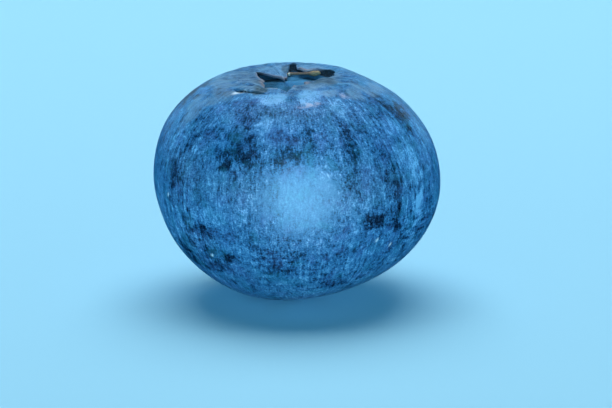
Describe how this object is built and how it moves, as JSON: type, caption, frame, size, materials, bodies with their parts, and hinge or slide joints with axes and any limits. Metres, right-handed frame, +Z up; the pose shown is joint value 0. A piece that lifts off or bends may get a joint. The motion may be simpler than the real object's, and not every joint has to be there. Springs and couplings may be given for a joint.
{
  "type": "blueberry",
  "caption": "Single ripe blueberry with waxy bloom, resting on its stem end, with folded calyx lobes and a dried style in the crown on top.",
  "frame": {"origin": "on the surface that the berry rests on, below the middle of its box", "axes": "+Z up through the crown, -Y towards the viewer of the picture, +X to the viewer's right"},
  "size_m": [0.016, 0.016, 0.0129],
  "materials": {
    "bloomed_skin": "dark blue skin under a pale waxy bloom, matte with a soft sheen",
    "dry_thread": "dry tan plant thread, matte"
  },
  "bodies": {
    "root": {"berry": "bloomed_skin", "dried_style": "dry_thread"}
  },
  "joints": []
}
